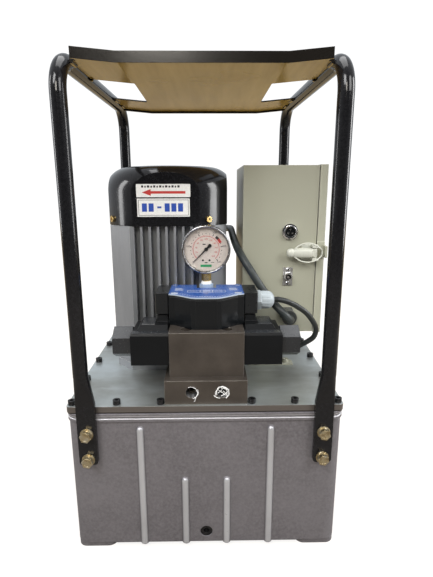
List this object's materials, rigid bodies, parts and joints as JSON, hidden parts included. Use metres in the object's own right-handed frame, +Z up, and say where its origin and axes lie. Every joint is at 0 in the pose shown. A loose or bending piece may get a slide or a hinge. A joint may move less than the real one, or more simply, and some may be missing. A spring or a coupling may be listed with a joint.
{
  "type": "hydraulic power unit",
  "caption": "Portable hydraulic power unit: upright electric motor over a submerged gear pump, solenoid valve with gauge and control box on a cast tank inside a tube carrying frame.",
  "frame": {"origin": "bottom centre of the feet, under the middle of the tank and frame", "axes": "+Z up, +X to the right seen from the front, front (pressure ports and gauge) faces -Y"},
  "size_m": [0.365, 0.3474, 0.6332],
  "materials": {
    "cast_aluminium": "sand-cast, fine grain",
    "plate_steel": "satin zinc plate",
    "black_screw": "black oxide",
    "black_gloss": "gloss enamel",
    "shelf_paint": "gloss enamel",
    "yellow_zinc": "yellow zinc plate",
    "gasket_fibre": "matt",
    "phosphate_steel": "phosphated",
    "ground_steel": "ground",
    "coil_plastic": "moulded",
    "box_plastic": "moulded",
    "blue_label": "printed cover",
    "grey_plastic": "moulded",
    "cable_jacket": "matt jacket",
    "chrome": "polished",
    "dial": "printed",
    "needle": "matt black",
    "clear": "clear",
    "motor_grey": "satin enamel",
    "copper_core": "varnished laminations",
    "box_paint": "powder coat",
    "pale_plastic": "moulded",
    "gear_steel": "hardened",
    "brass": "machined"
  },
  "bodies": {
    "unit": {"reservoir": "cast_aluminium", "drain_plug": "black_screw", "tank_gasket": "gasket_fibre", "cover_plate": "plate_steel", "cover_screws": "black_screw", "roll_bar_left": "black_gloss", "roll_bar_right": "black_gloss", "top_shelf": "shelf_paint", "frame_bolts": "yellow_zinc", "manifold_block": "phosphate_steel", "plate_screws": "black_screw", "valve_body": "phosphate_steel", "valve_screws": "black_screw", "spring_left": "ground_steel", "spring_right": "ground_steel", "solenoid_tubes": "ground_steel", "coil_left": "coil_plastic", "coil_right": "coil_plastic", "coil_nuts": "coil_plastic", "terminal_box": "box_plastic", "terminal_cover": "blue_label", "end_caps": "box_plastic", "valve_gland": "grey_plastic", "valve_cable": "cable_jacket", "gauge_riser": "plate_steel", "gauge_body": "chrome", "gauge_dial": "dial", "gauge_lens": "clear", "motor_flange": "motor_grey", "motor_housing": "motor_grey", "stator": "copper_core", "end_shield": "motor_grey", "fan_cowl": "black_gloss", "cowl_screws": "brass", "motor_bearings": "ground_steel", "motor_junction_box": "coil_plastic", "motor_cable": "cable_jacket", "control_box": "box_paint", "box_brackets": "box_paint", "latch_base": "pale_plastic", "contactor": "pale_plastic", "power_connector": "chrome", "signal_connector": "chrome", "box_glands": "coil_plastic", "pump_body": "cast_aluminium", "pump_cover": "cast_aluminium", "suction_strainer": "ground_steel", "pressure_pipe": "plate_steel", "return_pipe": "plate_steel", "filler_breather": "coil_plastic"},
    "rotor_group": {"rotor": "ground_steel", "fan": "coil_plastic", "coupling": "cast_aluminium", "drive_gear": "gear_steel"},
    "driven_gear_group": {"driven_gear": "gear_steel"},
    "spool_group": {"spool": "ground_steel", "armatures": "ground_steel"},
    "needle_group": {"gauge_needle": "needle"},
    "door_group": {"box_door": "box_paint"},
    "latch_group": {"latch_lever": "pale_plastic"}
  },
  "joints": [
    {"name": "rotor_spin", "type": "hinge", "parent": "unit", "child": "rotor_group", "pos_m": [-0.0547, 0.044, 0.213], "axis": [0, 0, 1], "continuous": true},
    {"name": "driven_gear_spin", "type": "hinge", "parent": "unit", "child": "driven_gear_group", "pos_m": [-0.0197, 0.044, 0.113], "axis": [0, 0, 1], "continuous": true},
    {"name": "spool_slide", "type": "slide", "parent": "unit", "child": "spool_group", "axis": [1, 0, 0], "range_m": [-0.003, 0.003], "stiffness_N_per_m": 9000, "deforming": ["spring_left", "spring_right"]},
    {"name": "needle_sweep", "type": "hinge", "parent": "unit", "child": "needle_group", "pos_m": [0.002, -0.072, 0.404], "axis": [0, 1, 0], "range_deg": [0, 270], "stiffness_Nm_per_rad": 0.0005},
    {"name": "door_swing", "type": "hinge", "parent": "unit", "child": "door_group", "pos_m": [0.1775, 0.138, 0.393], "axis": [0, 0, 1], "range_deg": [0, 110]},
    {"name": "latch_swing", "type": "hinge", "parent": "unit", "child": "latch_group", "pos_m": [0.164, -0.03, 0.392], "axis": [0, 0, 1], "range_deg": [0, 70]}
  ],
  "couplings": [
    {"joint": "driven_gear_spin", "follows": "rotor_spin", "ratio": -1}
  ]
}
